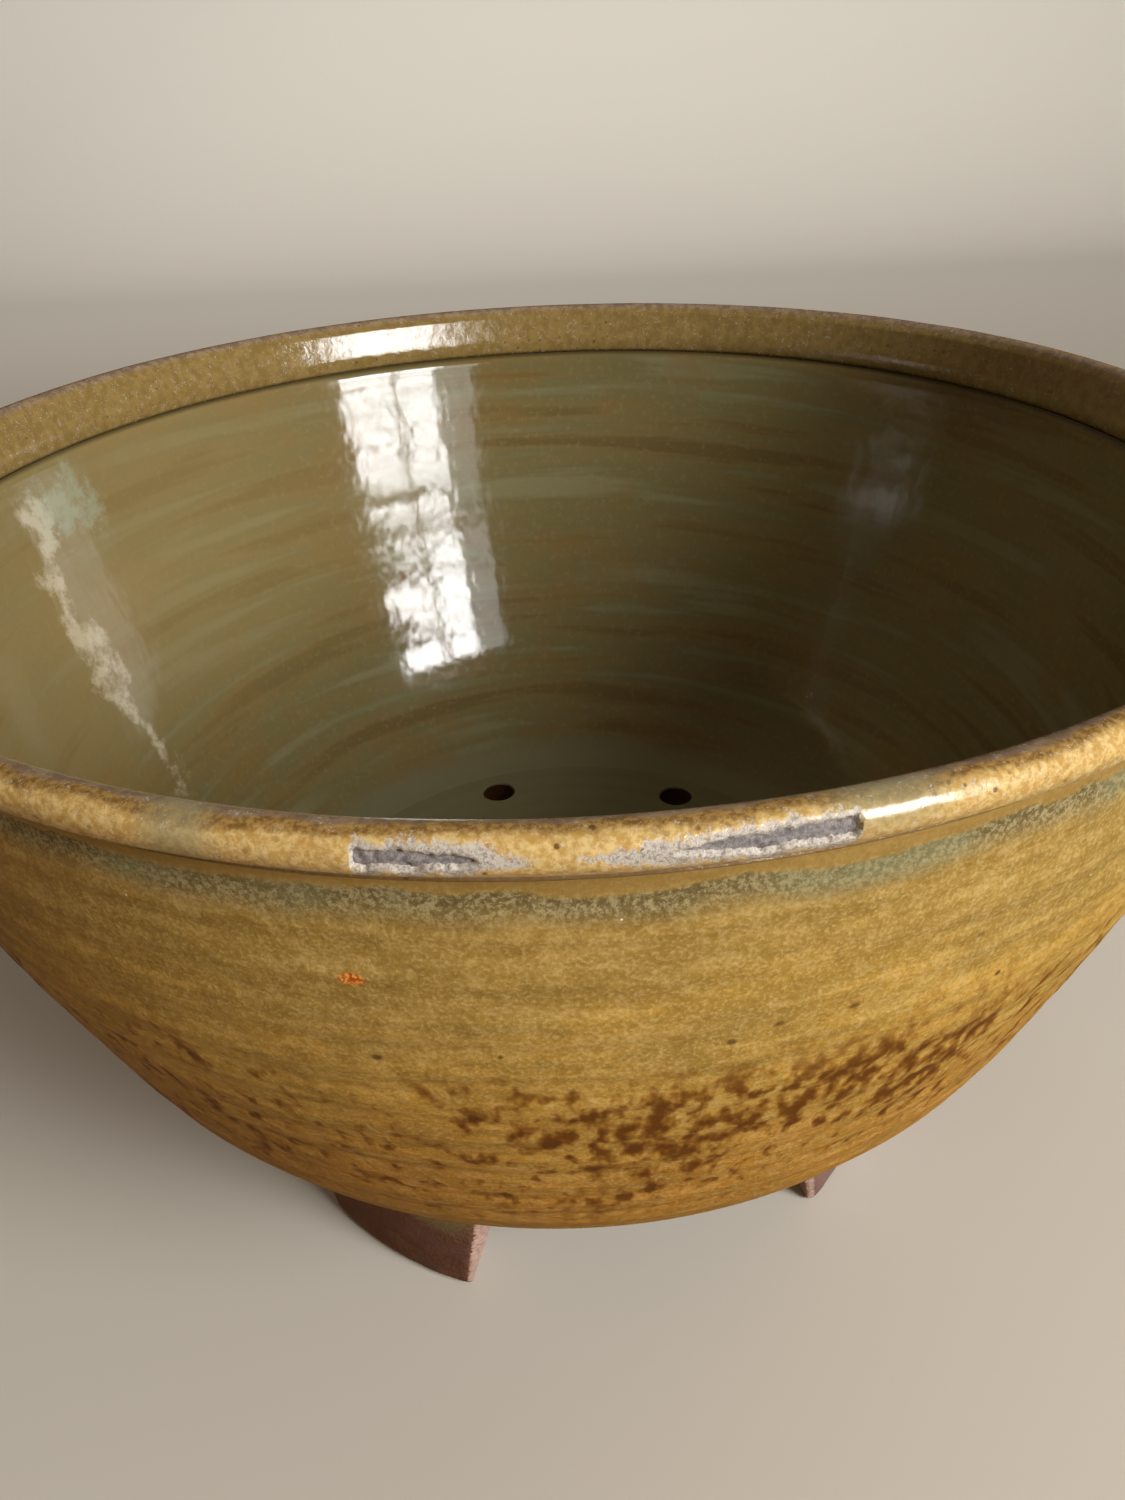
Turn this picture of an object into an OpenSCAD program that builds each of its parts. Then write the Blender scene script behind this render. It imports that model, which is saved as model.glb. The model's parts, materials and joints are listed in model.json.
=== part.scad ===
// Footed stoneware drainer bowl: a thrown bowl with a rolled rim, a floor with drain holes
// and a turned foot ring cut into four feet, under an all-over glaze.
// Origin on the bowl's axis in the plane of the four feet, +Z up, millimetres.

/* [Bowl] */
// Radius of the circle that the centre of the rim's bead runs on
rim_r = 125; // [115:1:135]
// Height of the centre of the rim's bead above the ground
bead_z = 157.3; // [150:0.1:165]
// Thickness of the glaze coats
glaze_t = 0.7; // [0.5:0.1:1]

/* [Rim] */
// Radius of the round bead on the outside of the rim
bead_r = 2.9; // [2.4:0.1:3.2]
// Depth of the crease under the bead, below the bead's centre
crease_drop = 3.4; // [3:0.1:4]
// Height of the thickened band inside the rim
collar_h = 12; // [9:0.5:14]
// Upward tilt of the two chips in the bead
chip_tilt = 12; // [0:1:20]

/* [Floor and drain holes] */
// Radius of the flat floor disc
floor_r = 66; // [64:1:70]
// Height of the glazed floor above the ground
floor_z = 42.5; // [41:0.5:46]
// Radius of each drain hole
hole_r = 4.4; // [3:0.1:5]
// Number of drain holes in the ring
hole_count = 7; // [5:1:8]
// Radius of the circle that the drain holes lie on
hole_ring_r = 58; // [45:0.1:58]
// Direction of the first drain hole
hole_start = 6; // [0:0.5:50]

/* [Feet] */
// Height of the underside of the bowl above the ground
underside_z = 33; // [30:0.5:34]
// Height of the notches that separate the feet
notch_h = 29.5; // [22:0.5:30]
// Outer radius of the feet on the ground
foot_r = 73.75; // [70:0.25:75]
// Wall thickness of the feet on the ground
foot_wall = 10; // [9:0.5:13]
// Number of feet
foot_count = 4; // [3:1:4]
// Angle that the outer face of each foot covers on the ground
foot_angle = 28.4; // [20:0.1:40]
// Direction of the first foot's middle
foot_start = -124.5; // [-180:0.5:180]
// Lean of the cut ends of the feet, which widen towards the bowl
foot_lean = 15; // [0:1:18]
// Width of the bevel between a foot's outer face and its cut end
bevel_w = 1.6; // [1:0.1:4]

/* [Hidden] */
$fn = 96;

// Number of straight steps between two points of a smooth curve
curve_steps = 5;
// Steps around the bead and the angles where its visible arc begins and ends
bead_steps = 22;
bead_from = -118;
bead_to = 128;

clay = "dimgray";
iron_clay = "rosybrown";
tan_glaze = "darkgoldenrod";
olive_glaze = "olive";

collar_z = bead_z + bead_r - collar_h;

// A smooth curve through points, by Catmull-Rom segments
function at(p, i) = p[min(max(i, 0), len(p) - 1)];
function blend(a, b, c, d, t) =
    0.5 * (2 * b + (c - a) * t + (2 * a - 5 * b + 4 * c - d) * t * t + (3 * b - a - 3 * c + d) * t * t * t);
function smooth(p) = concat(
    [for (i = [0:len(p) - 2], k = [0:curve_steps - 1])
        blend(at(p, i - 1), p[i], p[i + 1], at(p, i + 2), k / curve_steps)],
    [p[len(p) - 1]]
);

// A curve moved sideways by d, to the right of its direction when d is positive
function side(c, i) =
    let (step = at(c, i + 1) - at(c, i - 1), t = step / norm(step)) [t[1], -t[0]];
function shifted(c, d) = [for (i = [0:len(c) - 1]) c[i] + d * side(c, i)];
function reversed(c) = [for (i = [len(c) - 1:-1:0]) c[i]];
function slice(c, a, b) = [for (i = [a:b]) c[i]];

// Half section of the glazed surface, as [radius, height], from the underside up the outside,
// over the rim and down the inside to the edge of the floor
outer_wall = smooth([
    [rim_r - 48.5, underside_z + 0.4],
    [rim_r - 39.5, 44],
    [rim_r - 29.4, 56.5],
    [rim_r - 20.9, 69],
    [rim_r - 11.7, 94],
    [rim_r - 4.1, 119],
    [rim_r - 1.5, 137],
    [rim_r - 0.6, collar_z - 1]
]);
neck = [
    [rim_r - 0.6, collar_z + 1],
    [rim_r - 0.9, bead_z - crease_drop - 3],
    [rim_r - 0.6, bead_z - crease_drop - 1.2]
];
bead = [
    for (k = [0:bead_steps])
        let (a = bead_from + (bead_to - bead_from) * k / bead_steps)
            [rim_r + bead_r * cos(a), bead_z + bead_r * sin(a)]
];
collar = smooth([
    [rim_r - 3, bead_z + 0.9],
    [rim_r - 4.2, bead_z - 3],
    [rim_r - 4.9, collar_z + 3.2],
    [rim_r - 4.7, collar_z + 0.9],
    [rim_r - 4.1, collar_z]
]);
inner_wall = smooth([
    [rim_r - 4.9, collar_z - 1.2],
    [rim_r - 6.4, 139],
    [rim_r - 9.9, 124],
    [rim_r - 15.7, 104],
    [rim_r - 23, 84],
    [rim_r - 31.2, 66],
    [rim_r - 41.6, 52.5],
    [rim_r - 51.5, 44.8],
    [floor_r, floor_z]
]);

glazed = concat(outer_wall, neck, bead, collar, inner_wall);
under_glaze = shifted(glazed, -glaze_t);

wall_top = len(outer_wall) - 1;
crease = wall_top + len(neck);
groove = crease + len(bead) + len(collar);
floor_edge = len(glazed) - 1;
clay_floor_z = under_glaze[floor_edge][1];

// The full turn of a half section
module turned(section) {
    rotate_extrude($fn = 180) polygon(section);
}

// One glaze coat, between two points of the glazed surface
module coat(first, last) {
    turned(concat(slice(glazed, first, last), reversed(slice(under_glaze, first, last))));
}

// Flat cuts that stand for the two places where the rim's glaze is knocked off:
// direction of the middle, turn of the cut, half length and depth into the bead
chip_h = 3.6;
module chip(middle, turn, half_length, depth) {
    rotate([0, 0, middle])
        translate([rim_r, 0, bead_z])
            rotate([0, -chip_tilt, 0])
                rotate([0, 0, turn])
                    translate([bead_r - depth, -half_length, -chip_h / 2])
                        cube([bead_r, 2 * half_length, chip_h]);
}

module chips() {
    chip(-95.8, -2, 8.5, 0.75);
    chip(-82.6, 1.5, 12.7, 0.95);
}

// The clay bowl wall, from the foot ring to the rim
module bowl_wall() {
    color(clay)
        turned(concat(
            [[floor_r, clay_floor_z], [floor_r, underside_z]],
            slice(under_glaze, 0, wall_top),
            slice(under_glaze, groove, floor_edge - 1)
        ));
}

// The rolled clay rim: the bead outside and the thickened band inside
module rolled_rim() {
    color(clay)
        difference() {
            turned(slice(under_glaze, wall_top, groove));
            chips();
        }
}

// The drain holes: a ring of them around one in the middle
module drain_holes(height) {
    for (i = [0:hole_count - 1])
        rotate([0, 0, hole_start + i * 360 / hole_count])
            translate([hole_ring_r, 0, 0])
                cylinder(h = height, r = hole_r);
    cylinder(h = height, r = hole_r);
}

// The clay floor disc with its drain holes
module perforated_floor() {
    color(clay)
        difference() {
            translate([0, 0, underside_z])
                cylinder(h = clay_floor_z - underside_z, r = floor_r, $fn = 180);
            drain_holes(floor_z + 1);
        }
}

// The glaze pooled over the floor
module floor_glaze() {
    color(olive_glaze)
        difference() {
            translate([0, 0, clay_floor_z])
                cylinder(h = floor_z - clay_floor_z, r = floor_r, $fn = 180);
            drain_holes(floor_z + 1);
        }
}

// The foot's radial section between two heights: it widens a little towards the bowl
foot_edge = 1.2;
foot_flare = 2.5;
function foot_outer(z) = foot_r + foot_flare * z / underside_z;
function foot_inner(z) = foot_r - foot_wall - 0.8 * z / underside_z;

// The part of the turned foot ring that stays whole above the notches
module foot_ring() {
    color(iron_clay)
        turned([
            [foot_inner(notch_h), notch_h],
            [foot_outer(notch_h), notch_h],
            [foot_outer(underside_z), underside_z],
            [foot_inner(underside_z), underside_z]
        ]);
}

// The second foot was cut a little out of line with the others
foot_shift = [0, 3.7, 0, 0];

// The space beyond one end of a foot, seen from above: x points outwards from the end of the
// foot's outer face, and a bevel leads round to a straight side of the notch
bevel_turn = 40;
reach = 60;
module notch_side() {
    bevel = bevel_w * [cos(90 + bevel_turn), sin(90 + bevel_turn)];
    outward = reach * [sin(bevel_turn), -cos(bevel_turn)];
    side_turn = (360 / foot_count - foot_angle) / 2;
    inward = bevel - reach * [cos(side_turn), sin(side_turn)];
    polygon([outward, bevel, inward, [inward[0], reach], [reach, reach], [reach, outward[1]]]);
}

// One foot: a stretch of the ring between two leaning cuts
module foot(index) {
    color(iron_clay)
        rotate([0, 0, foot_start + index * 360 / foot_count + foot_shift[index]])
            difference() {
                intersection() {
                    turned([
                        [foot_inner(0) + foot_edge, 0],
                        [foot_r - foot_edge, 0],
                        [foot_outer(foot_edge), foot_edge],
                        [foot_outer(notch_h), notch_h],
                        [foot_inner(notch_h), notch_h],
                        [foot_inner(foot_edge), foot_edge]
                    ]);
                    translate([foot_r / 2, -foot_r / 2, 0])
                        cube([foot_r, foot_r, notch_h]);
                }
                for (s = [-1, 1])
                    mirror([0, s > 0 ? 0 : 1, 0])
                        rotate([0, 0, foot_angle / 2])
                            translate([foot_r, 0, 0])
                                rotate([-foot_lean, 0, 0])
                                    translate([0, 0, -reach])
                                        linear_extrude(height = 3 * reach)
                                            notch_side();
            }
}

module foot_1() {
    foot(0);
}

module foot_2() {
    foot(1);
}

module foot_3() {
    foot(2);
}

module foot_4() {
    foot(3);
}

// The glaze on the outside, from the foot ring to the crease under the bead
module outer_glaze() {
    color(tan_glaze)
        coat(0, crease);
}

// The glaze over the rim, missing where it is chipped
module rim_glaze() {
    color(tan_glaze)
        difference() {
            coat(crease, groove);
            chips();
        }
}

// The glaze on the inside, from the rim's band down to the floor
module inner_wall_glaze() {
    color(olive_glaze)
        coat(groove, floor_edge);
}

bowl_wall();
rolled_rim();
perforated_floor();
foot_ring();
foot_1();
foot_2();
foot_3();
foot_4();
outer_glaze();
rim_glaze();
inner_wall_glaze();
floor_glaze();
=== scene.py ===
"""Looks of the footed stoneware drainer bowl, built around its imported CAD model."""

import json
import math

import bmesh
import bpy
import numpy as np
from mathutils import Matrix, Vector
from mathutils.bvhtree import BVHTree
from mathutils.geometry import delaunay_2d_cdt


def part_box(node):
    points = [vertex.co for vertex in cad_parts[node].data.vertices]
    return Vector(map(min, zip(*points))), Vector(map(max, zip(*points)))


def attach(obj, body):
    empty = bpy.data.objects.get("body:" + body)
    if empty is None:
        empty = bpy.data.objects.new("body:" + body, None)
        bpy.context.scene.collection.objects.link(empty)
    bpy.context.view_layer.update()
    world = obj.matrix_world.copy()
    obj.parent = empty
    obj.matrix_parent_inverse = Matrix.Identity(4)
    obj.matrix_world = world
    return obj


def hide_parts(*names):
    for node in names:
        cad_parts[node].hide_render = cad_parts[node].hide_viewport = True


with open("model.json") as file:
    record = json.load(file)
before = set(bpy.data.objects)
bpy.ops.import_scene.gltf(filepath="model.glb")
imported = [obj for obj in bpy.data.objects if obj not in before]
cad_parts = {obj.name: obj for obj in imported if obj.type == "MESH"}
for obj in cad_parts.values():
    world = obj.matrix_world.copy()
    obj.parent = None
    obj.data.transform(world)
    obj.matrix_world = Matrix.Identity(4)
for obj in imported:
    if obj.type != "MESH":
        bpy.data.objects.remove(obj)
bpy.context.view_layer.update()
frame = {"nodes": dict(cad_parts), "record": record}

MM = 0.001
BODY = "root"

# Directions round the bowl in degrees: 0 is +X, -90 faces the camera.
CHIPS = (
    # middle direction, half length in mm, deeper and sharper end (-1 left, 1 right)
    {"middle": -95.6, "half": 8.3, "deep_end": -1},
    {"middle": -82.8, "half": 12.5, "deep_end": 1},
)
SPECKS = (
    # direction and height in metres of the dark specks that stand alone
    (-101.0, 0.1238), (-74.5, 0.1270), (-78.9, 0.1268), (-81.5, 0.1248), (-67.0, 0.1329),
)

GLAZE = 0.7 * MM  # thickness of every glaze coat
CLAY_BEAD_R = 2.2 * MM  # radius of the rolled rim's bead under its glaze
HOLE_R = 4.4 * MM
AROUND = 720  # steps round the bowl in a wall
RIM_AROUND = 2400  # steps round the rim, fine enough for the ragged chips
SHARP_FROM = math.radians(52)  # edges that turn by more than this stay sharp


# ---------------------------------------------------------------- camera and studio

def make_camera():
    """A view from close above the near rim, down into the bowl."""
    camera = bpy.data.objects.new("camera", bpy.data.cameras.new("camera"))
    bpy.context.scene.collection.objects.link(camera)
    camera.data.sensor_fit = "VERTICAL"
    camera.data.sensor_height = 36
    camera.data.lens = 27.1
    camera.data.clip_start = 0.01
    look_down = math.radians(90 - 32.1)
    roll = math.radians(-2.58)
    camera.matrix_world = (
        Matrix.Translation((0, -0.2126, 0.2233))
        @ Matrix.Rotation(look_down, 4, "X")
        @ Matrix.Rotation(roll, 4, "Z")
    )
    bpy.context.scene.camera = camera


def add_area(name, place, target, size, power, colour, diffuse=True, glossy=True):
    """A rectangular studio light at a place, facing a target."""
    light = bpy.data.lights.new(name, "AREA")
    light.shape = "RECTANGLE"
    light.size, light.size_y = size
    light.energy = power
    light.color = colour
    lamp = bpy.data.objects.new(name, light)
    bpy.context.scene.collection.objects.link(lamp)
    lamp.location = place
    lamp.rotation_euler = (Vector(target) - Vector(place)).to_track_quat("-Z", "Y").to_euler()
    lamp.visible_diffuse = diffuse
    lamp.visible_glossy = glossy
    return lamp


def at_direction(direction, elevation, distance, centre):
    """The point at a direction and elevation, in degrees, from a centre."""
    a, e = math.radians(direction), math.radians(elevation)
    return Vector(centre) + distance * Vector(
        (math.cos(e) * math.cos(a), math.cos(e) * math.sin(a), math.sin(e))
    )


def make_window(centre):
    """The softbox that shows in the gloss: panes with bars between them, like a window."""
    middle = at_direction(-56, 21, 1.25, centre)
    facing = (centre - middle).to_track_quat("-Z", "Y")
    # edges in metres from the window's middle, and the share of the full brightness
    columns = ((-0.37, -0.20, 0.15), (-0.18, 0.010, 1), (0.040, 0.31, 1))
    rows = ((-0.335, -0.266), (-0.252, -0.199), (-0.189, -0.147), (-0.122, 0.20))
    brightness = 78  # watts for each square metre of pane
    for column, (left, right, share) in enumerate(columns):
        for row, (bottom, top) in enumerate(rows):
            size = (right - left, top - bottom)
            place = middle + facing @ Vector(((left + right) / 2, (bottom + top) / 2, 0))
            power = brightness * share * size[0] * size[1]
            name = f"pane_{column}_{row}"
            lamp = add_area(name, place, centre, size, power, (1, 1, 1), diffuse=False)
            lamp.rotation_euler = facing.to_euler()


def make_lights():
    """A soft key from the front right, its window in the gloss, and weak fills.
    Each fill has a name, a place, a size in metres, a power in watts and a colour."""
    centre = Vector((0, 0, 0.13))
    warm, bounced, neutral = (1, 0.96, 0.9), (1, 0.66, 0.36), (1, 0.99, 0.97)
    make_window(centre)
    fills = (
        ("key", at_direction(-41, 25, 1.3, centre), (0.5, 0.6), 20.5, warm),
        ("back_fill", at_direction(125, 32, 1.3, centre), (0.8, 0.8), 1.2, warm),
        ("ceiling", (0, 0.15, 1.6), (0.9, 0.9), 1.2, warm),
        ("table_bounce", at_direction(-86, -4, 1.0, centre), (1.2, 0.1), 1.5, bounced),
    )
    for name, place, size, power, colour in fills:
        add_area(name, place, centre, size, power, colour, glossy=False)
    above, wall = (0, 0.3, 1.5), (0, 1.5, 0.9)
    backdrop = add_area("backdrop_light", above, wall, (2.4, 0.3), 14, neutral, glossy=False)
    backdrop.data.spread = math.radians(110)
    world = bpy.data.worlds.new("studio")
    world.use_nodes = True
    background = world.node_tree.nodes["Background"]
    background.inputs["Color"].default_value = (1, 0.70, 0.42, 1)
    background.inputs["Strength"].default_value = 0.11
    bpy.context.scene.world = world
    bpy.context.scene.view_settings.view_transform = "Standard"


def make_stage():
    """A pale floor that curves up into a backdrop behind the bowl. It throws no light back on
    the bowl, so that the glaze keeps the dark, warm underside that it has on a brown table."""
    half_width, front, back, bend, top = 3.0, -3.0, 1.5, 0.4, 2.2
    bend_steps = 16
    outline = [(front, 0.0)]
    for k in range(bend_steps + 1):
        a = math.radians(90 * k / bend_steps)
        outline.append((back - bend + bend * math.sin(a), bend - bend * math.cos(a)))
    outline.append((back, top))
    build = bmesh.new()
    rows = [
        [build.verts.new((x, y, z)) for x in (-half_width, half_width)]
        for y, z in outline
    ]
    for near, far in zip(rows, rows[1:]):
        build.faces.new((near[0], near[1], far[1], far[0]))
    mesh = bpy.data.meshes.new("floor")
    build.to_mesh(mesh)
    build.free()
    mesh.polygons.foreach_set("use_smooth", [True] * len(mesh.polygons))
    floor = bpy.data.objects.new("floor", mesh)
    bpy.context.scene.collection.objects.link(floor)
    floor.visible_diffuse = False
    floor.visible_glossy = False
    paint = Paint("pale_floor")
    paint.set(base=(0.66, 0.635, 0.58), roughness=0.8)
    mesh.materials.append(paint.material)


# ---------------------------------------------------------------- materials

class Paint:
    """One node material, built step by step: every step returns a socket."""

    SOCKETS = {
        "base": "Base Color",
        "roughness": "Roughness",
        "specular": "Specular IOR Level",
        "coat": "Coat Weight",
        "coat_roughness": "Coat Roughness",
    }

    def __init__(self, name):
        self.material = bpy.data.materials.new(name)
        self.material.use_nodes = True
        self.tree = self.material.node_tree
        self.shader = self.tree.nodes["Principled BSDF"]
        self.place = self.add("ShaderNodeTexCoord").outputs["Object"]
        apart = self.add("ShaderNodeSeparateXYZ")
        self.link(self.place, apart.inputs[0])
        self.x, self.y, self.z = apart.outputs

    def add(self, kind, **settings):
        node = self.tree.nodes.new(kind)
        for key, value in settings.items():
            setattr(node, key, value)
        return node

    def link(self, value, socket):
        """Links a socket, or sets a number or a colour, which may lack its alpha."""
        if isinstance(value, bpy.types.NodeSocket):
            self.tree.links.new(value, socket)
        elif isinstance(value, tuple) and len(value) == 3 and socket.type == "RGBA":
            socket.default_value = (*value, 1)
        else:
            socket.default_value = value

    def set(self, **values):
        """Links or sets the shader's own inputs."""
        for key, value in values.items():
            self.link(value, self.shader.inputs[self.SOCKETS[key]])

    def sum(self, operation, *values):
        """The result of a math node, whatever its operation."""
        node = self.add("ShaderNodeMath", operation=operation)
        for value, socket in zip(values, node.inputs):
            self.link(value, socket)
        return node.outputs[0]

    def fade(self, value, low, high, start=0.0, end=1.0):
        """A smooth step from start to end while value goes from low to high."""
        node = self.add("ShaderNodeMapRange", interpolation_type="SMOOTHSTEP")
        for number, socket in zip((value, low, high, start, end), node.inputs):
            self.link(number, socket)
        return node.outputs[0]

    def between(self, share, first, second):
        """A number that goes from the first to the second as the share rises."""
        rest = self.sum("SUBTRACT", 1, share)
        return self.sum("ADD", self.sum("MULTIPLY", first, rest), self.sum("MULTIPLY", second, share))

    def mix(self, share, first, second):
        """A colour that goes from the first to the second as the share rises."""
        node = self.add("ShaderNodeMix", data_type="RGBA")
        self.link(share, node.inputs[0])
        self.link(first, node.inputs[6])
        self.link(second, node.inputs[7])
        return node.outputs[2]

    def squeezed(self, flat, seed):
        """The place, with features flattened this many times in height."""
        node = self.add("ShaderNodeMapping")
        self.link(self.place, node.inputs["Vector"])
        node.inputs["Location"].default_value = (seed, seed * 0.7, seed * 1.3)
        node.inputs["Scale"].default_value = (1, 1, flat)
        return node.outputs[0]

    def noise(self, size, detail=2.0, flat=1.0, rough=0.5, seed=0.0):
        """Noise with features of about this size in metres."""
        node = self.add("ShaderNodeTexNoise")
        self.link(self.squeezed(flat, seed), node.inputs["Vector"])
        node.inputs["Scale"].default_value = 1 / size
        node.inputs["Detail"].default_value = detail
        node.inputs["Roughness"].default_value = rough
        return node.outputs["Fac"]

    def dots(self, size, radius, share, seed):
        """Round specks on a share of cells of this size: 1 inside a speck."""
        node = self.add("ShaderNodeTexVoronoi")
        self.link(self.squeezed(1.0, seed), node.inputs["Vector"])
        node.inputs["Scale"].default_value = 1 / size
        chance = self.add("ShaderNodeSeparateColor")
        self.link(node.outputs["Color"], chance.inputs[0])
        inside = self.fade(node.outputs["Distance"], radius / size, radius / size * 0.55)
        kept = self.fade(chance.outputs[0], share, share * 0.9)
        return self.sum("MULTIPLY", inside, kept)

    def turn(self):
        """The direction round the axis, in radians from +X."""
        return self.sum("ARCTAN2", self.y, self.x)

    def length(self, a, b):
        """The length of a step with these two parts."""
        return self.sum("SQRT", self.sum("ADD", self.sum("MULTIPLY", a, a), self.sum("MULTIPLY", b, b)))

    def spot(self, direction, height, half_width, half_height, radius, soft=0.5):
        """1 inside an oval patch on the wall at a direction in degrees and a height."""
        across = self.sum("SUBTRACT", self.turn(), math.radians(direction))
        across = self.sum("MULTIPLY", across, radius / half_width)
        up = self.sum("SUBTRACT", self.z, height)
        up = self.sum("DIVIDE", up, half_height)
        return self.fade(self.length(across, up), 1 + soft, 1 - soft)

    def band(self, low, high, soft):
        """1 between two heights, with soft edges."""
        return self.sum(
            "MULTIPLY",
            self.fade(self.z, low - soft, low + soft),
            self.fade(self.z, high + soft, high - soft),
        )

    def attribute(self, name):
        """A value that the mesh holds at each point."""
        return self.add("ShaderNodeAttribute", attribute_name=name).outputs["Fac"]

    def bump(self, *layers):
        """Stacks (height socket, depth in metres) layers into one normal."""
        normal = None
        for height, depth in layers:
            node = self.add("ShaderNodeBump")
            node.inputs["Strength"].default_value = 1
            node.inputs["Distance"].default_value = depth
            self.link(height, node.inputs["Height"])
            if normal is not None:
                self.link(normal, node.inputs["Normal"])
            normal = node.outputs[0]
        self.link(normal, self.shader.inputs["Normal"])


# painted shade that two coats share where they meet: in the crease under the bead and in the groove
# inside
CREASE_SHADE = (0.10, 0.025, 0.006)
GROOVE_SHADE = (0.05, 0.035, 0.012)


def paint_outer_glaze(crease_z):
    """Satin golden tan glaze: fine grain, a grey-green crystal band, iron blotches and specks."""
    p = Paint("tan_glaze")
    cloud = p.noise(0.035, detail=3, flat=2.5, seed=1.0)
    ring = p.noise(0.014, detail=4, flat=6, seed=2.0, rough=0.6)
    grain = p.noise(0.00055, detail=2, rough=0.6, seed=3.0)
    mottle = p.noise(0.0022, detail=3, rough=0.65, seed=3.5)
    height = p.sum("ADD", p.z, p.fade(cloud, 0.3, 0.7, -0.008, 0.008))
    olive, gold, orange = (0.42, 0.275, 0.07), (0.57, 0.34, 0.062), (0.52, 0.225, 0.022)
    colour = p.mix(p.fade(height, crease_z - 0.012, crease_z - 0.036), olive, gold)
    # the lower wall turns orange: partly the glaze's warmer tone, partly painted orange bounce light
    # from a brown table
    colour = p.mix(p.fade(height, 0.118, 0.078, 0.0, 0.9), colour, orange)
    # painted shade: the left flank, turned away from the key light, is darkened to a browner orange
    shaded_flank = p.fade(p.x, -0.04, -0.12, 0.0, 0.45)
    colour = p.mix(shaded_flank, colour, (0.38, 0.16, 0.014))
    # streaks that run round the wall, soft mottling and fine grain, each dark and pale
    colour = p.mix(p.fade(ring, 0.44, 0.60, 0.0, 0.45), colour, (0.26, 0.17, 0.035))
    colour = p.mix(p.fade(ring, 0.47, 0.36, 0.0, 0.30), colour, (0.58, 0.42, 0.15))
    colour = p.mix(p.fade(mottle, 0.48, 0.66, 0.0, 0.32), colour, (0.27, 0.165, 0.03))
    colour = p.mix(p.fade(mottle, 0.50, 0.36, 0.0, 0.24), colour, (0.66, 0.50, 0.20))
    colour = p.mix(p.fade(grain, 0.50, 0.66, 0.0, 0.34), colour, (0.68, 0.54, 0.25))
    colour = p.mix(p.fade(grain, 0.49, 0.34, 0.0, 0.34), colour, (0.25, 0.15, 0.03))

    # pale and dark crystals in the groove under the bead, and painted shade, a dark red-brown line, in
    # the crease
    wander = p.noise(0.016, detail=4, seed=4.0)
    height = p.sum("ADD", p.z, p.fade(wander, 0.3, 0.7, -0.0009, 0.0009))
    groove = p.sum(
        "MULTIPLY",
        p.fade(height, crease_z - 0.0070, crease_z - 0.0028),
        p.fade(height, crease_z - 0.0012, crease_z - 0.0021),
    )
    crystals = p.noise(0.0007, detail=3, rough=0.8, seed=5.0)
    grey = p.mix(p.fade(crystals, 0.42, 0.62), (0.105, 0.082, 0.034), (0.36, 0.32, 0.18))
    colour = p.mix(p.sum("MULTIPLY", groove, 0.85), colour, grey)
    green = p.fade(p.noise(0.02, detail=2, seed=5.5), 0.48, 0.62, 0.0, 0.4)
    colour = p.mix(p.sum("MULTIPLY", groove, green), colour, (0.27, 0.29, 0.16))
    lip = p.fade(height, crease_z - 0.0019, crease_z - 0.0010, 0.0, 0.7)
    colour = p.mix(lip, colour, (0.30, 0.19, 0.055))
    line = p.fade(p.z, crease_z - 0.0001, crease_z + 0.0004)
    colour = p.mix(line, colour, CREASE_SHADE)

    # rust blotches over the lower half: small soft spots that crowd into clusters
    lower = p.sum(
        "MULTIPLY",
        p.fade(height, crease_z - 0.024, crease_z - 0.042),
        p.fade(p.z, 0.062, 0.084),
    )
    fields = p.noise(0.022, detail=3, flat=0.8, rough=0.55, seed=7.0)
    crowd = p.sum(
        "MAXIMUM",
        p.spot(-84, 0.102, 0.018, 0.017, 0.110, soft=0.8),
        p.spot(-70, 0.116, 0.032, 0.014, 0.115, soft=0.8),
        p.spot(-103, 0.110, 0.024, 0.012, 0.114, soft=0.7),
    )
    fields = p.sum("ADD", fields, p.sum("MULTIPLY", crowd, 0.17))
    wish = p.sum("MULTIPLY", lower, p.fade(fields, 0.40, 0.68, 0.0, 0.17))
    spots = p.noise(0.0026, detail=2.5, flat=0.6, rough=0.55, seed=6.0)
    spots = p.sum("ADD", spots, wish)
    halo = p.sum("MULTIPLY", p.fade(spots, 0.53, 0.70, 0.0, 0.75), lower)
    colour = p.mix(halo, colour, (0.30, 0.125, 0.014))
    core = p.sum("MULTIPLY", p.fade(spots, 0.60, 0.80, 0.0, 0.9), lower)
    colour = p.mix(core, colour, (0.12, 0.036, 0.003))

    # dark specks, strewn and in their own places, and tiny pale dots that are painted sparkle
    # highlights
    speck = p.dots(0.0068, 0.0006, 0.3, seed=8.0)
    for direction, place in SPECKS:
        own = p.spot(direction, place, 0.0006, 0.0005, 0.115)
        speck = p.sum("MAXIMUM", speck, own)
    specked = p.sum("MULTIPLY", speck, p.fade(p.z, crease_z - 0.012, crease_z - 0.03))
    colour = p.mix(p.sum("MULTIPLY", specked, 0.85), colour, (0.10, 0.05, 0.012))
    painted_sparkle = p.dots(0.0045, 0.00018, 0.3, seed=9.0)
    colour = p.mix(painted_sparkle, colour, (0.85, 0.8, 0.66))

    # one orange iron bloom
    bloom = p.spot(-101.2, 0.1379, 0.0014, 0.0010, 0.123, soft=0.35)
    hot = p.mix(p.fade(grain, 0.45, 0.6), (0.50, 0.11, 0.010), (0.95, 0.42, 0.09))
    colour = p.mix(bloom, colour, hot)

    p.set(base=colour, roughness=p.fade(grain, 0.3, 0.7, 0.36, 0.5), specular=0.25)
    p.bump(
        (p.noise(0.006, detail=2, seed=10.0), 0.0003),
        (mottle, 0.0001),
        (grain, 0.00005),
    )
    return p.material


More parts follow.
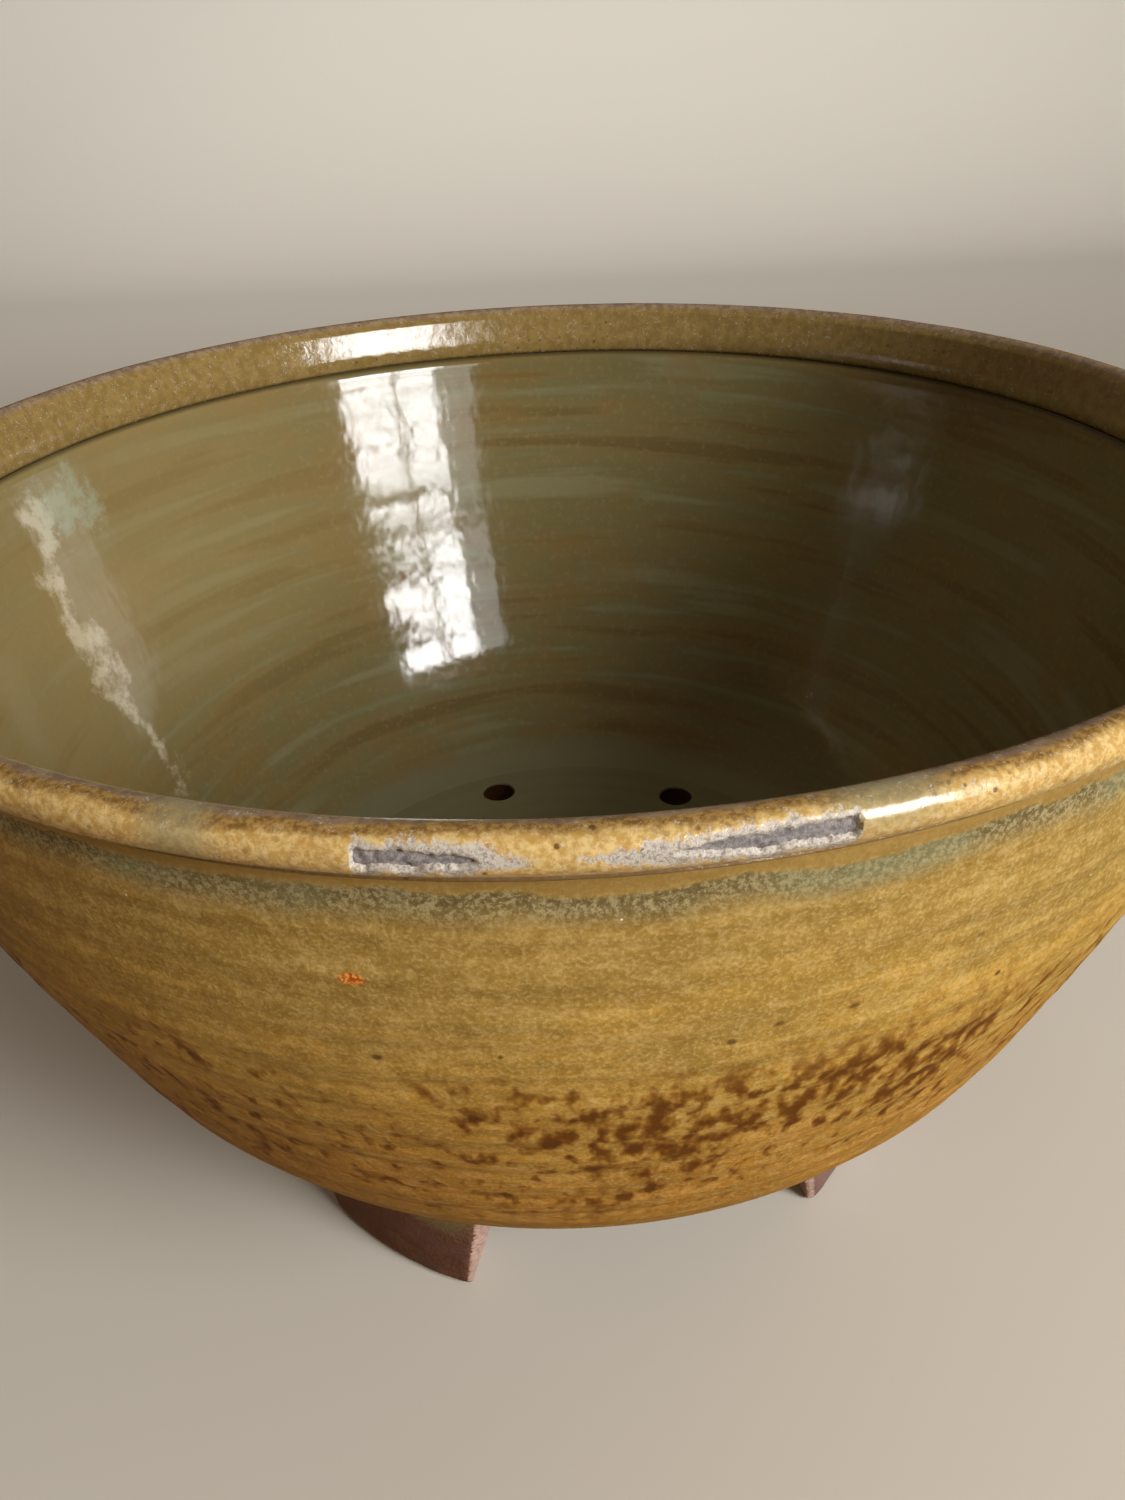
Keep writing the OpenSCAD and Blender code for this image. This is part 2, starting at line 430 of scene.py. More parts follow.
def paint_inner_glaze(groove_z, floor_z):
    """Glossy olive glaze streaked by the throwing, pooled on the floor, with a pale run on
    the left."""
    p = Paint("olive_glaze")
    ring = p.noise(0.085, detail=3, flat=14, rough=0.5, seed=21.0)
    cloud = p.noise(0.03, detail=4, flat=1.6, rough=0.6, seed=22.0)
    fine = p.noise(0.0016, detail=3, rough=0.6, seed=23.0)
    colour = p.mix(p.fade(ring, 0.36, 0.64), (0.190, 0.145, 0.055), (0.150, 0.137, 0.060))
    colour = p.mix(p.fade(ring, 0.53, 0.66, 0.0, 0.6), colour, (0.235, 0.215, 0.115))
    colour = p.mix(p.fade(ring, 0.46, 0.34, 0.0, 0.65), colour, (0.115, 0.080, 0.028))
    colour = p.mix(p.fade(cloud, 0.48, 0.66, 0.0, 0.5), colour, (0.205, 0.125, 0.038))
    colour = p.mix(p.fade(fine, 0.52, 0.7, 0.0, 0.25), colour, (0.27, 0.23, 0.12))
    # a warmer, lighter gold on the left side, which faces the key light: partly the glaze's own tone,
    # partly painted light
    side = p.sum("MULTIPLY", p.fade(p.x, 0.0, -0.12), p.fade(p.z, 0.06, 0.10))
    colour = p.mix(p.sum("MULTIPLY", side, 0.5), colour, (0.33, 0.245, 0.105))
    pooled = p.fade(p.z, floor_z + 0.006, floor_z + 0.0002)
    colour = p.mix(p.sum("MULTIPLY", pooled, 0.75), colour, (0.20, 0.20, 0.125))
    top = p.fade(p.z, groove_z - 0.0012, groove_z - 0.0001)
    colour = p.mix(p.sum("MULTIPLY", top, 0.8), colour, GROOVE_SHADE)

    # a ragged run of pale glaze from a green patch down to the floor
    ragged = p.noise(0.007, detail=6, rough=0.75, seed=26.0)
    sway = p.fade(p.noise(0.016, detail=3, seed=27.0), 0.3, 0.7, -0.04, 0.04)
    across = p.sum("SUBTRACT", p.turn(), math.radians(166.6))
    across = p.sum("ADD", across, sway)
    line = p.fade(p.sum("ABSOLUTE", across), 0.075, 0.0)
    line = p.sum("MULTIPLY", line, p.band(0.070, 0.144, 0.006))
    run = p.fade(p.sum("ADD", line, p.fade(ragged, 0.3, 0.7, -0.5, 0.35)), 0.40, 1.10)
    colour = p.mix(p.sum("MULTIPLY", run, 0.65), colour, (0.62, 0.55, 0.41))
    patch = p.spot(160.5, 0.137, 0.011, 0.009, 0.119, soft=0.9)
    patch = p.fade(p.sum("ADD", patch, p.fade(ragged, 0.3, 0.7, -0.5, 0.35)), 0.3, 1.1)
    colour = p.mix(p.sum("MULTIPLY", patch, 0.55), colour, (0.36, 0.42, 0.31))
    p.set(base=colour, roughness=p.fade(fine, 0.3, 0.7, 0.07, 0.12), specular=0.5)
    p.set(coat=0.06, coat_roughness=0.05)
    p.bump(
        (p.noise(0.010, detail=1, flat=0.7, seed=24.0), 0.00004),
        (p.noise(0.0034, detail=1, flat=0.5, seed=25.0), 0.00006),
    )
    return p.material


def paint_rim_glaze(bead_z, bead_r, rim_r, groove_z):
    """Golden rim glaze: brown along the top, speckled tan outside, whitish round the chips."""
    p = Paint("rim_glaze")
    out = p.sum("SUBTRACT", p.length(p.x, p.y), rim_r)
    up = p.sum("SUBTRACT", p.z, bead_z)
    round_angle = p.sum("ARCTAN2", up, out)
    wander = p.fade(p.noise(0.012, detail=4, rough=0.65, seed=31.0), 0.3, 0.7, -0.28, 0.28)
    angle = p.sum("ADD", round_angle, wander)
    grain = p.noise(0.0009, detail=3, rough=0.7, seed=32.0)
    mottle = p.noise(0.0022, detail=3, rough=0.6, seed=37.0)
    gold = p.mix(p.fade(grain, 0.36, 0.64), (0.54, 0.345, 0.105), (0.74, 0.56, 0.25))
    gold = p.mix(p.fade(mottle, 0.5, 0.68, 0.0, 0.4), gold, (0.42, 0.22, 0.05))
    brown = p.mix(p.fade(grain, 0.36, 0.64), (0.20, 0.105, 0.028), (0.42, 0.26, 0.08))
    top = p.mix(p.fade(mottle, 0.4, 0.62), (0.22, 0.15, 0.10), (0.33, 0.24, 0.15))
    inside = p.mix(p.fade(mottle, 0.35, 0.65), (0.235, 0.155, 0.048), (0.30, 0.205, 0.070))
    colour = p.mix(p.fade(angle, 0.75, 1.2), gold, brown)
    colour = p.mix(p.fade(angle, 1.35, 1.75), colour, top)
    # the arctangent jumps from pi to -pi on the inside, below the bead's centre
    inner_side = p.sum("MAXIMUM", p.fade(round_angle, 2.15, 2.6), p.fade(out, -0.0024, -0.0032))
    colour = p.mix(inner_side, colour, inside)
    shade = p.sum("MULTIPLY", inner_side, p.fade(p.z, groove_z + 0.0010, groove_z))
    colour = p.mix(p.sum("MULTIPLY", shade, 0.8), colour, GROOVE_SHADE)
    outer_side = p.fade(out, -0.002, 0.0)
    under = p.sum("MULTIPLY", outer_side, p.fade(angle, -0.45, -0.85))
    colour = p.mix(p.sum("MULTIPLY", under, 0.55), colour, (0.58, 0.47, 0.30))
    specks = p.dots(0.0017, 0.00042, 0.4, seed=33.0)
    patch = p.fade(p.noise(0.012, detail=2, seed=34.0), 0.45, 0.65)
    specks = p.sum("MULTIPLY", specks, p.fade(patch, 0, 1, 0.25, 0.9))
    colour = p.mix(specks, colour, (0.12, 0.06, 0.02))
    green = p.sum(
        "MAXIMUM",
        p.spot(-107.8, bead_z, 0.0036, 0.006, rim_r, soft=0.6),
        p.spot(-75.5, bead_z + 0.002, 0.006, 0.0022, rim_r, soft=0.6),
    )
    colour = p.mix(p.sum("MULTIPLY", green, 0.6), colour, (0.33, 0.31, 0.18))
    # painted shade: a dark red-brown line in the crease under the bead
    bead_foot = bead_z - bead_r
    crease = p.sum("MULTIPLY", outer_side, p.fade(p.z, bead_foot + 0.0006, bead_foot + 0.0001))
    colour = p.mix(crease, colour, CREASE_SHADE)

    # powdery grey margins round the chips
    worn = p.attribute("chip_margin")
    powder = p.noise(0.00036, detail=3, rough=0.8, seed=35.0)
    flake = p.noise(0.0016, detail=3, rough=0.7, seed=38.0)
    grit = p.sum("ADD", p.fade(powder, 0.3, 0.7, -0.3, 0.3), p.fade(flake, 0.3, 0.7, -0.2, 0.2))
    edge = p.fade(p.sum("ADD", worn, grit), 0.18, 0.60, 0.0, 0.9)
    white = p.mix(p.fade(powder, 0.36, 0.58), (0.24, 0.225, 0.22), (0.60, 0.585, 0.56))
    colour = p.mix(edge, colour, white)
    rough = p.between(inner_side, p.fade(grain, 0.3, 0.7, 0.14, 0.26), 0.09)
    rough = p.sum("MAXIMUM", rough, p.sum("MULTIPLY", edge, 0.75))
    coat = p.sum("MULTIPLY", p.fade(worn, 0.25, 0.05), 0.25)
    p.set(base=colour, roughness=rough, specular=0.5, coat=coat, coat_roughness=0.1)
    p.bump((p.noise(0.003, detail=2, seed=36.0), 0.00014), (grain, 0.00006))
    return p.material


def paint_clay(name, dark, light, seed):
    """Bare fired clay with grog and fine pores, with painted shade in dark brown inside the drain
    holes.
    """
    p = Paint(name)
    grain = p.noise(0.0008, detail=4, rough=0.75, seed=seed)
    cloud = p.noise(0.012, detail=3, seed=seed + 1)
    colour = p.mix(p.fade(grain, 0.35, 0.65), dark, light)
    colour = p.mix(p.fade(cloud, 0.4, 0.7, 0, 0.3), colour, tuple(0.6 * c for c in dark))
    grog = p.dots(0.0022, 0.0003, 0.3, seed=seed + 2)
    colour = p.mix(p.sum("MULTIPLY", grog, 0.8), colour, (0.60, 0.57, 0.53))
    pore = p.dots(0.0031, 0.00022, 0.3, seed=seed + 3)
    colour = p.mix(pore, colour, (0.02, 0.018, 0.016))
    # painted shade: the walls of the drain holes go near-black brown
    hole_shade = p.mix(p.fade(grain, 0.35, 0.65), (0.035, 0.014, 0.005), (0.075, 0.032, 0.012))
    colour = p.mix(p.attribute("hole_wall"), colour, hole_shade)
    p.set(base=colour, roughness=p.fade(grain, 0.3, 0.7, 0.62, 0.85), specular=0.3)
    p.bump((grain, 0.00025), (p.noise(0.004, detail=2, seed=seed + 4), 0.0003))
    return p.material


def paint_feet():
    """Bare clay under a purple-brown iron wash; the cut ends are paler and pinker, partly bare clay and
    partly a painted highlight from the key light.
    """
    p = Paint("iron_washed_clay")
    grain = p.noise(0.0009, detail=4, rough=0.7, seed=51.0)
    cloud = p.noise(0.009, detail=3, seed=52.0, flat=1.5)
    colour = p.mix(p.fade(grain, 0.35, 0.65), (0.125, 0.052, 0.027), (0.20, 0.092, 0.05))
    colour = p.mix(p.fade(cloud, 0.4, 0.65, 0, 0.6), colour, (0.17, 0.09, 0.075))
    # painted light: a paler grey-purple patch on the right foot's outer face, where the key light falls
    thin = p.spot(-31, 0.014, 0.020, 0.016, 0.075, soft=0.8)
    colour = p.mix(p.sum("MULTIPLY", thin, 0.7), colour, (0.34, 0.26, 0.27))
    drip = p.spot(-113, 0.027, 0.007, 0.006, 0.075, soft=0.7)
    colour = p.mix(p.sum("MULTIPLY", drip, 0.8), colour, (0.27, 0.25, 0.10))
    glazed = p.fade(p.sum("ADD", p.z, p.fade(cloud, 0.3, 0.7, -0.006, 0.006)), 0.026, 0.031)
    colour = p.mix(p.sum("MULTIPLY", glazed, 0.6), colour, (0.20, 0.13, 0.035))
    # the cut ends go pale pink: partly bare clay, partly a painted highlight where the key light
    # strikes the bevels
    ragged_cut = p.sum("ADD", p.attribute("cut_face"), p.fade(grain, 0.3, 0.7, -0.08, 0.08))
    cut = p.fade(ragged_cut, 0.32, 0.5)
    bare_and_lit = p.mix(p.fade(grain, 0.35, 0.65), (0.44, 0.30, 0.26), (0.66, 0.48, 0.42))
    colour = p.mix(cut, colour, bare_and_lit)
    worn = p.fade(p.z, 0.0016, 0.0004)
    colour = p.mix(p.sum("MULTIPLY", worn, 0.6), colour, (0.3, 0.2, 0.16))
    p.set(base=colour, roughness=p.fade(grain, 0.3, 0.7, 0.5, 0.75), specular=0.35)
    p.bump((grain, 0.0002), (cloud, 0.0005))
    return p.material


# ---------------------------------------------------------------- meshes

def tree_of(node):
    """A search tree over a CAD node's faces."""
    return BVHTree.FromObject(frame["nodes"][node], bpy.context.evaluated_depsgraph_get())


def hit(tree, start, towards):
    """Where a ray in the half plane behind the bowl meets a node, as (radius, height)."""
    a, b = Vector((0, start[0], start[1])), Vector((0, towards[0], towards[1]))
    point = tree.ray_cast(a, (b - a).normalized())[0]
    return (point.y, point.z)


def resampled(chain, step):
    """The same line with even steps."""
    chain = np.array(chain)
    along = np.concatenate([[0], np.cumsum(np.linalg.norm(np.diff(chain, axis=0), axis=1))])
    count = max(2, int(round(along[-1] / step)) + 1)
    even = np.linspace(0, along[-1], count)
    return np.stack([np.interp(even, along, chain[:, k]) for k in (0, 1)], axis=1)


def softened(chain, reach):
    """The line smoothed over a number of points, with its ends kept."""
    kernel = np.hanning(2 * reach + 1)
    kernel /= kernel.sum()
    padded = np.concatenate([
        2 * chain[0] - chain[reach:0:-1], chain, 2 * chain[-1] - chain[-2:-reach - 2:-1]
    ])
    return np.stack([np.convolve(padded[:, k], kernel, "valid") for k in (0, 1)], axis=1)


def side_of(chain):
    """Unit normals to the right of the line's direction."""
    step = np.gradient(chain, axis=0)
    step /= np.linalg.norm(step, axis=1)[:, None]
    return np.stack([step[:, 1], -step[:, 0]], axis=1)


def waves(seed, count, around, along):
    """Random waves that close on themselves round the bowl, as a function of angle and height."""
    rng = np.random.default_rng(seed)
    turns = rng.integers(0, around + 1, count)
    rise = rng.uniform(-along, along, count)
    shift = rng.uniform(0, 2 * math.pi, count)
    size = rng.uniform(0.5, 1, count)
    size /= np.sqrt((size ** 2).sum() / 2)

    def value(angle, height):
        total = np.zeros(np.broadcast(angle, height).shape)
        for n, m, s, a in zip(turns, rise, shift, size):
            total += a * np.cos(n * angle + 2 * math.pi * m * height + s)
        return total

    return value


def add_piece(name, mesh, material, slot, *nodes):
    """A finished piece: smooth, painted, riding on the bowl and standing for CAD nodes."""
    mesh.polygons.foreach_set("use_smooth", [True] * len(mesh.polygons))
    mesh.set_sharp_from_angle(angle=SHARP_FROM)
    mesh.materials.append(material)
    piece = bpy.data.objects.new(name, mesh)
    bpy.context.scene.collection.objects.link(piece)
    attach(piece, BODY)
    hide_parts(*nodes)


def grid_mesh(name, points, attributes=None):
    """A closed ring-shaped mesh from points[around, along], joined up both ways."""
    around, along = points.shape[:2]
    i = np.arange(around)[:, None]
    j = np.arange(along)[None, :]
    corner = i * along + j
    right = ((i + 1) % around) * along + j
    up = i * along + (j + 1) % along
    across = ((i + 1) % around) * along + (j + 1) % along
    faces = np.stack([corner, right, across, up], axis=-1).reshape(-1, 4)
    mesh = bpy.data.meshes.new(name)
    mesh.from_pydata(points.reshape(-1, 3).tolist(), [], faces.tolist())
    for key, values in (attributes or {}).items():
        layer = mesh.attributes.new(key, "FLOAT", "POINT")
        layer.data.foreach_set("value", values.reshape(-1).astype(np.float32))
    return mesh


def lathe(name, chain, thickness, relief, around, marks=None):
    """A closed shell turned round the axis: chain is its visible line as (radius, height),
    relief(angle, chain) moves the visible side outwards, marks(angle, chain) are attributes."""
    normal = side_of(chain)
    angle = np.linspace(0, 2 * math.pi, around, endpoint=False)[:, None]
    lift = relief(angle, chain)[:, :, None]
    seen = chain[None] + lift * normal[None]
    back = chain[None] + np.minimum(lift - 0.1 * MM, -thickness) * normal[None]
    back = back[:, ::-1]
    section = np.concatenate([seen, back], axis=1)
    turned = np.stack([
        section[:, :, 0] * np.cos(angle), section[:, :, 0] * np.sin(angle), section[:, :, 1]
    ], axis=-1)
    attributes = {}
    for key, values in (marks(angle, chain) if marks else {}).items():
        attributes[key] = np.concatenate([values, values[:, ::-1]], axis=1)
    return grid_mesh(name, turned, attributes)


def eased(value, start, end):
    """A smooth step from 0 to 1 while value goes from start to end."""
    share = np.clip((value - start) / (end - start), 0, 1)
    return share * share * (3 - 2 * share)


def throwing_rings(height, angle, pitch, depth):
    """The spiral ridges that fingers leave on the wheel."""
    turns = height / pitch + angle / (2 * math.pi)
    return depth * np.cos(2 * math.pi * turns + 0.7 * np.sin(2 * angle))


# ---------------------------------------------------------------- pieces

def wall_line():
    """The outside of the wall from the underside up to the crease under the bead."""
    low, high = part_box("outer_glaze")
    tree = tree_of("outer_glaze")
    heights = np.linspace(low.z + 0.2 * MM, high.z - 0.05 * MM, 240)
    chain = [hit(tree, (0.2, z), (0.0, z)) for z in heights]
    return softened(resampled(chain, 0.5 * MM), 9)


def inside_line():
    """The inside of the wall from the groove under the rim's band down to the floor."""
    low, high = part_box("inner_wall_glaze")
    tree = tree_of("inner_wall_glaze")
    heights = np.linspace(high.z - 0.03 * MM, low.z + 1.5 * MM, 240)
    chain = [hit(tree, (0.0, z), (0.2, z)) for z in heights]
    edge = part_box("floor_glaze")[1]
    chain.append((edge.y, edge.z))
    return softened(resampled(chain, 0.5 * MM), 5)


def rim_line(bead_z, bead_r, rim_r):
    """The rim's glaze from the crease, round the bead and down the band inside."""
    tree = tree_of("rim_glaze")
    crease_top = bead_z - bead_r
    heights = np.linspace(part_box("outer_glaze")[1].z + 0.05 * MM, crease_top - 0.1 * MM, 8)
    chain = [hit(tree, (0.2, z), (0.0, z)) for z in heights]
    for degrees in np.arange(-95, 121, 3):
        a = math.radians(degrees)
        far = (rim_r + 0.01 * math.cos(a), bead_z + 0.01 * math.sin(a))
        chain.append(hit(tree, far, (rim_r, bead_z)))
    groove_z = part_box("inner_wall_glaze")[1].z
    for z in np.linspace(chain[-1][1] - 0.3 * MM, groove_z + 0.03 * MM, 24):
        chain.append(hit(tree, (0.0, z), (0.2, z)))
    return softened(resampled(chain, 0.25 * MM), 2)


def chip_fields(angle, chain, bead_z, rim_r):
    """Depth of the chips, 0 to 1, and the worn margin round them, 0 to 1."""
    ragged = waves(41, 70, 900, 700)
    coarse = waves(42, 24, 220, 250)
    tilt = np.arctan2(chain[:, 1] - bead_z, chain[:, 0] - rim_r)[None, :]
    outer = chain[None, :, 0] > rim_r
    z = chain[None, :, 1]
    rough = 0.10 * ragged(angle, z) + 0.10 * coarse(angle, z)
    core = np.zeros(rough.shape)
    margin = np.zeros(rough.shape)
    core_tilt, core_reach, margin_reach = 0.12, 0.46, 0.92
    for chip in CHIPS:
        turn = (angle - math.radians(chip["middle"]) + math.pi) % (2 * math.pi) - math.pi
        along = chip["deep_end"] * turn * rim_r / (chip["half"] * MM) + 0.04 * rough
        up = np.abs(tilt - core_tilt)
        thin = np.sqrt(np.clip((along + 0.45) / 0.7, 0, 1))
        deep = core_reach * thin * (1 + rough) - up
        deep = np.clip(deep / 0.16, 0, 1) * np.clip((1 - along) / 0.02, 0, 1)
        wide = np.sqrt(np.clip((along + 1.2) / 1.2, 0, 1))
        worn = (margin_reach * wide * (1 + rough) - up) / 0.5
        worn = np.clip(worn, 0, 1) * np.clip((1.03 - along) / 0.04, 0, 1)
        core = np.maximum(core, deep * outer)
        margin = np.maximum(margin, worn * outer)
    return core, margin


def make_outer_glaze(material):
    """The outside coat, with throwing rings."""
    chain = wall_line()
    lumps = waves(1, 14, 5, 12)
    fine = waves(2, 30, 26, 60)

    def relief(angle, line):
        z = line[None, :, 1]
        rings = throwing_rings(z, angle, 8.5 * MM, 0.1 * MM)
        rings = rings + throwing_rings(z, 2 * angle, 3.4 * MM, 0.03 * MM)
        ends = np.clip(np.minimum(z - line[0, 1], line[-1, 1] - z) / (4 * MM), 0, 1)
        return ends * (rings + 0.05 * MM * lumps(angle, z) + 0.03 * MM * fine(angle, z))

    mesh = lathe("outer_glaze_coat", chain, GLAZE, relief, AROUND)
    add_piece("outer_glaze_coat", mesh, material, "tan_glaze", "outer_glaze")


def make_inner_glaze(material):
    """The inside coat, with faint throwing rings and a shallow swell low on the wall."""
    chain = inside_line()
    lumps = waves(3, 14, 5, 12)
    fine = waves(4, 40, 30, 70)

    def relief(angle, line):
        z = line[None, :, 1]
        rings = throwing_rings(z, angle, 11 * MM, 0.006 * MM)
        swell = 0.42 * MM * eased(z, 94 * MM, 66 * MM) * eased(z, 54 * MM, 66 * MM)
        ends = np.clip(np.minimum(line[0, 1] - z, z - line[-1, 1]) / (4 * MM), 0, 1)
        return ends * (rings + swell + 0.05 * MM * lumps(angle, z) + 0.006 * MM * fine(angle, z))

    mesh = lathe("inner_wall_glaze_coat", chain, GLAZE, relief, AROUND)
    add_piece("inner_wall_glaze_coat", mesh, material, "olive_glaze", "inner_wall_glaze")


def make_rim(glaze, clay, bead_z, bead_r, rim_r):
    """The rim's glaze with its two chips, and the clay rim that shows in them."""
    chain = rim_line(bead_z, bead_r, rim_r)
    lumps = waves(5, 20, 40, 120)

    def relief(angle, line):
        core, margin = chip_fields(angle, line, bead_z, rim_r)
        z = line[None, :, 1]
        wear = 0.14 * MM * margin + 0.95 * MM * core
        return -wear - 0.06 * MM + 0.02 * MM * lumps(angle, z)

    def marks(angle, line):
        return {"chip_margin": chip_fields(angle, line, bead_z, rim_r)[1]}

    mesh = lathe("rim_glaze_coat", chain, GLAZE, relief, RIM_AROUND, marks)
    add_piece("rim_glaze_coat", mesh, glaze, "rim_glaze", "rim_glaze")

    under = chain - (GLAZE + 0.02 * MM) * side_of(chain)
    broken = waves(43, 90, 1100, 800)

    def clay_relief(angle, line):
        core = chip_fields(angle, line, bead_z, rim_r)[0]
        return core * (0.05 * MM * broken(angle, line[None, :, 1]) - 0.08 * MM)

    mesh = lathe("rolled_rim_clay", under, 1.2 * MM, clay_relief, RIM_AROUND)
    add_piece("rolled_rim_clay", mesh, clay, "stoneware_clay", "rolled_rim")


def hole_centres():
    """The middles of the drain holes, from the openings that the record states for them."""
    stated = frame["record"]["physics"]["openings"]
    boxes = [row["box_m"] for row in stated if row["name"].startswith("drain_hole")]
    return [((low[0] + high[0]) / 2, (low[1] + high[1]) / 2) for low, high in boxes]


def perforated_sheet(radius, lip):
    """Points and triangles of a flat disc with the drain holes in it, and each point's
    distance from the nearest hole's edge. Rings of points follow the disc's edge and each
    hole's lip, and even rows fill the rest."""
    centres = np.array(hole_centres())
    points, edges = [], []

    def add_ring(middle, ring_r, count, keep_edges):
        first = len(points)
        for k in range(count):
            a = 2 * math.pi * k / count
            points.append((middle[0] + ring_r * math.cos(a), middle[1] + ring_r * math.sin(a)))
            if keep_edges:
                edges.append((first + k, first + (k + 1) % count))

    edge_steps, hole_steps = 360, 60
    add_ring((0, 0), radius, edge_steps, True)
    add_ring((0, 0), radius - 0.5 * MM, edge_steps, False)
    lip_steps = (0, 0.12, 0.3, 0.55, 0.85, 1.2, 1.7)
    for centre in centres:
        for step in lip_steps:
            add_ring(centre, HOLE_R + step * lip, hole_steps, step == 0)
    pitch, row_share = 1.3 * MM, 0.866
    rows = int(radius / (pitch * row_share)) + 1
    for j in range(-rows, rows + 1):
        for i in range(-rows - 1, rows + 2):
            x, y = (i + 0.5 * (j % 2)) * pitch, j * pitch * row_share
            clear = np.hypot(centres[:, 0] - x, centres[:, 1] - y).min() - HOLE_R
            if math.hypot(x, y) < radius - 1.2 * MM and clear > lip_steps[-1] * lip + 0.6 * MM:
                points.append((x, y))
    result = delaunay_2d_cdt([Vector(p) for p in points], edges, [], 0, 1e-7)
    flat = np.array([tuple(v) for v in result[0]])
    faces = np.array(result[2])
    middles = flat[faces].mean(axis=1)

    def to_holes(places):
        step = places[:, None, :] - centres[None, :, :]
        return np.hypot(step[:, :, 0], step[:, :, 1]).min(axis=1)

    outside = to_holes(middles) > HOLE_R * math.cos(math.pi / hole_steps) ** 2
    return flat, faces[outside], to_holes(flat) - HOLE_R


def slab_mesh(name, flat, faces, top, bottom, walls=None):
    """A closed slab between a top and a bottom over the same triangles."""
    a, b, c = (flat[faces[:, k]] for k in range(3))
    clockwise = np.cross(b - a, c - a) < 0
    faces = np.where(clockwise[:, None], faces[:, ::-1], faces)
    used = np.unique(faces)
    renumbered = np.full(len(flat), -1)
    renumbered[used] = np.arange(len(used))
    faces, count = renumbered[faces], len(used)
    points = np.concatenate([
        np.column_stack([flat[used], top[used]]), np.column_stack([flat[used], bottom[used]])
    ])
    sides = {(i, j) for face in faces.tolist() for i, j in zip(face, face[1:] + face[:1])}
    rims = sorted(side for side in sides if side[::-1] not in sides)
    shell = [(j, i, i + count, j + count) for i, j in rims]
    mesh = bpy.data.meshes.new(name)
    mesh.from_pydata(
        points.tolist(), [], faces.tolist() + (faces[:, ::-1] + count).tolist() + shell
    )
    if walls is not None:
        layer = mesh.attributes.new("hole_wall", "FLOAT", "POINT")
        layer.data.foreach_set("value", np.tile(walls[used], 2).astype(np.float32))
    return mesh


def rounded_lip(clear, radius):
    """How far a lip of this radius drops, by the distance from the hole's edge."""
    inside = np.clip(1 - clear / radius, 0, 1)
    nearly_upright = 0.96
    return radius * (1 - np.sqrt(1 - inside ** 2 * nearly_upright))


def make_floor(glaze, clay):
    """The clay floor disc and the glaze pooled on it, with rounded drain holes."""
    clay_low, clay_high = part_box("perforated_floor")
    glaze_low, glaze_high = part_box("floor_glaze")
    radius = glaze_high.x
    lip = 0.6 * MM
    lumps = waves(6, 12, 4, 8)
    flat, faces, clear = perforated_sheet(radius, lip)
    reach = np.hypot(flat[:, 0], flat[:, 1])
    angle = np.arctan2(flat[:, 1], flat[:, 0])
    rim_fade = np.clip((radius - reach) / (5 * MM), 0, 1)
    rings = throwing_rings(reach, angle, 7 * MM, 0.07 * MM)
    uneven = rim_fade * (rings + 0.05 * MM * lumps(angle, reach))
    top = glaze_high.z + uneven - rounded_lip(clear, lip)
    under_glaze = np.full(len(flat), glaze_low.z + 0.005 * MM)
    mesh = slab_mesh("floor_glaze_coat", flat, faces, top, under_glaze)
    add_piece("floor_glaze_coat", mesh, glaze, "olive_glaze", "floor_glaze")

    trimming = throwing_rings(reach, angle, 2.6 * MM, 0.08 * MM)
    bottom = clay_low.z + rounded_lip(clear, lip) + 0.1 * MM + trimming
    inner_edge = np.clip((radius - reach) / (1 * MM), 0, 1)
    bottom = clay_low.z + (bottom - clay_low.z) * inner_edge
    walls = (clear < 0.1 * lip).astype(float)
    flat_top = np.full(len(flat), clay_high.z)
    mesh = slab_mesh("perforated_floor_clay", flat, faces, flat_top, bottom, walls)
    add_piece("perforated_floor_clay", mesh, clay, "stoneware_clay", "perforated_floor")


def joined(nodes, top):
    """One mesh of several CAD nodes, run up a little past the top into the bowl."""
    build = bmesh.new()
    for node in nodes:
        build.from_mesh(frame["nodes"][node].data)
    for vert in build.verts:
        if vert.co.z > top - 0.05 * MM:
            vert.co.z += 0.5 * MM
    mesh = bpy.data.meshes.new("turned_foot")
    build.to_mesh(mesh)
    build.free()
    return mesh


def remeshed(mesh, voxel, smoothing):
    """The mesh rebuilt from even voxels and smoothed, so that its edges are softly worn."""
    blank = bpy.data.objects.new("remesh", mesh)
    bpy.context.scene.collection.objects.link(blank)
    remesh = blank.modifiers.new("remesh", "REMESH")
    remesh.mode = "VOXEL"
    remesh.voxel_size = voxel
    smooth = blank.modifiers.new("smooth", "SMOOTH")
    smooth.factor = 0.5
    smooth.iterations = smoothing
    graph = bpy.context.evaluated_depsgraph_get()
    result = bpy.data.meshes.new_from_object(blank.evaluated_get(graph))
    bpy.data.objects.remove(blank)
    return result


def foot_part(name, source, level, above, middle=None):
    """The part of the turned foot above or below a level. With a middle direction in radians
    it is the one foot there."""
    build = bmesh.new()
    build.from_mesh(source)
    everything = build.verts[:] + build.edges[:] + build.faces[:]
    bmesh.ops.bisect_plane(
        build, geom=everything, plane_co=(0, 0, level), plane_no=(0, 0, 1),
        clear_inner=above, clear_outer=not above,
    )

    def away(vert):
        turn = math.atan2(vert.co.y, vert.co.x) - middle
        return abs((turn + math.pi) % (2 * math.pi) - math.pi) > math.pi / 4

    if middle is not None:
        bmesh.ops.delete(build, geom=[v for v in build.verts if away(v)], context="VERTS")
    open_edges = [e for e in build.edges if len(e.link_faces) == 1]
    bmesh.ops.holes_fill(build, edges=open_edges)
    bmesh.ops.triangulate(build, faces=[f for f in build.faces if len(f.verts) > 4])
    bmesh.ops.recalc_face_normals(build, faces=build.faces)
    mesh = bpy.data.meshes.new(name)
    build.to_mesh(mesh)
    build.free()
    return mesh


